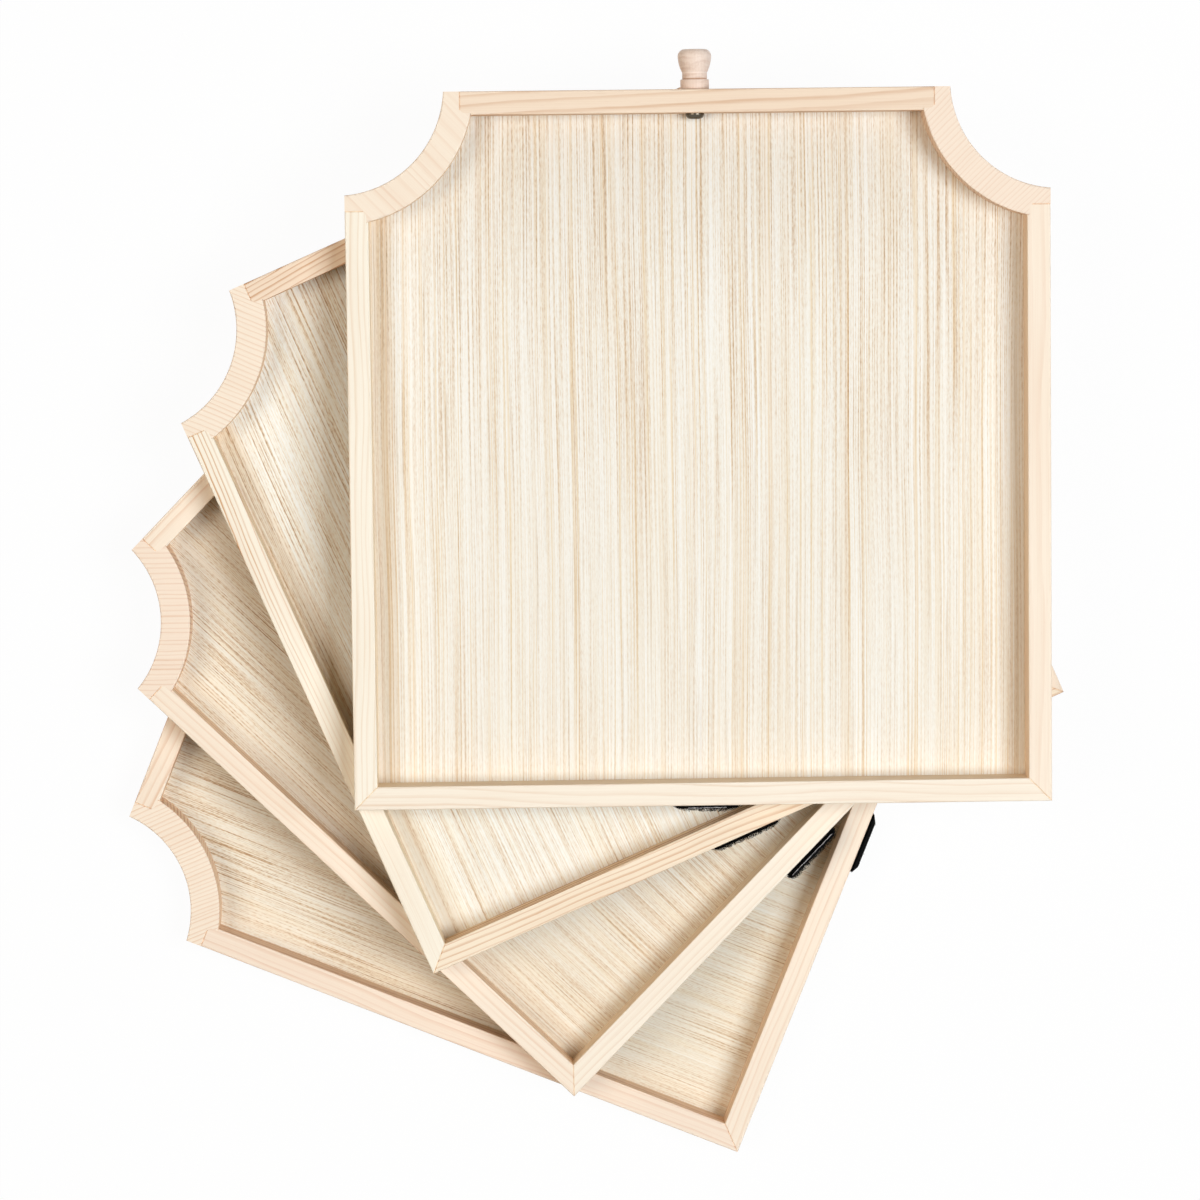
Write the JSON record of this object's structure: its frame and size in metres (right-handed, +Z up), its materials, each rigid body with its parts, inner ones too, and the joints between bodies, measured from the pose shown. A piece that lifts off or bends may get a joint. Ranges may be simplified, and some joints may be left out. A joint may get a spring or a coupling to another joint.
{
  "type": "jigsaw puzzle table drawers",
  "caption": "Stacking wooden sorting drawers of a jigsaw puzzle table, fanned open, with scooped front corners, turned knobs and hook-and-loop pads.",
  "frame": {"origin": "on the floor, under the middle of the fan's bounding box", "axes": "+Z up; +Y is the top tray's depth, towards its knob, and +X its width, to the right seen from above with the knob away"},
  "size_m": [0.409, 0.4862, 0.072],
  "materials": {
    "pine_rail": "planed bare pine, fine straight tan grain",
    "pine_block": "sawn and sanded bare pine, parallel growth rings",
    "veneered_panel": "streaked straight-grain veneer, bare",
    "turned_knob": "turned and sanded close-grained hardwood",
    "bright_screw": "bright nickel-plated",
    "hook_tape": "black nylon hook tape",
    "loop_tape": "black nylon loop tape, fuzzy",
    "steel_brads": "plain wire nails"
  },
  "bodies": {
    "tray_4": {"tray_4_front_rail": "pine_rail", "tray_4_back_rail": "pine_rail", "tray_4_left_rail": "pine_rail", "tray_4_right_rail": "pine_rail", "tray_4_left_corner_block": "pine_block", "tray_4_right_corner_block": "pine_block", "tray_4_bottom_panel": "veneered_panel", "tray_4_knob": "turned_knob", "tray_4_knob_screw": "bright_screw", "tray_4_hook_pad": "hook_tape", "tray_4_loop_pad": "loop_tape", "tray_4_panel_brads": "steel_brads", "tray_4_corner_brads": "steel_brads"},
    "tray_3": {"tray_3_front_rail": "pine_rail", "tray_3_back_rail": "pine_rail", "tray_3_left_rail": "pine_rail", "tray_3_right_rail": "pine_rail", "tray_3_left_corner_block": "pine_block", "tray_3_right_corner_block": "pine_block", "tray_3_bottom_panel": "veneered_panel", "tray_3_knob": "turned_knob", "tray_3_knob_screw": "bright_screw", "tray_3_hook_pad": "hook_tape", "tray_3_loop_pad": "loop_tape", "tray_3_panel_brads": "steel_brads", "tray_3_corner_brads": "steel_brads"},
    "tray_2": {"tray_2_front_rail": "pine_rail", "tray_2_back_rail": "pine_rail", "tray_2_left_rail": "pine_rail", "tray_2_right_rail": "pine_rail", "tray_2_left_corner_block": "pine_block", "tray_2_right_corner_block": "pine_block", "tray_2_bottom_panel": "veneered_panel", "tray_2_knob": "turned_knob", "tray_2_knob_screw": "bright_screw", "tray_2_hook_pad": "hook_tape", "tray_2_loop_pad": "loop_tape", "tray_2_panel_brads": "steel_brads", "tray_2_corner_brads": "steel_brads"},
    "tray_1": {"tray_1_front_rail": "pine_rail", "tray_1_back_rail": "pine_rail", "tray_1_left_rail": "pine_rail", "tray_1_right_rail": "pine_rail", "tray_1_left_corner_block": "pine_block", "tray_1_right_corner_block": "pine_block", "tray_1_bottom_panel": "veneered_panel", "tray_1_knob": "turned_knob", "tray_1_knob_screw": "bright_screw", "tray_1_hook_pad": "hook_tape", "tray_1_loop_pad": "loop_tape", "tray_1_panel_brads": "steel_brads", "tray_1_corner_brads": "steel_brads"}
  },
  "joints": [
    {"name": "tray_3_turn", "type": "hinge", "parent": "tray_4", "child": "tray_3", "pos_m": [0.10322, -0.04203, 0.018], "axis": [0, 0, 1], "range_deg": [-22, 22.11]},
    {"name": "tray_2_turn", "type": "hinge", "parent": "tray_3", "child": "tray_2", "pos_m": [0.10878, -0.0293, 0.036], "axis": [0, 0, 1], "range_deg": [-22, 22.26]},
    {"name": "tray_1_turn", "type": "hinge", "parent": "tray_2", "child": "tray_1", "pos_m": [0.09252, -0.03954, 0.054], "axis": [0, 0, 1], "range_deg": [-22, 23.5]}
  ]
}
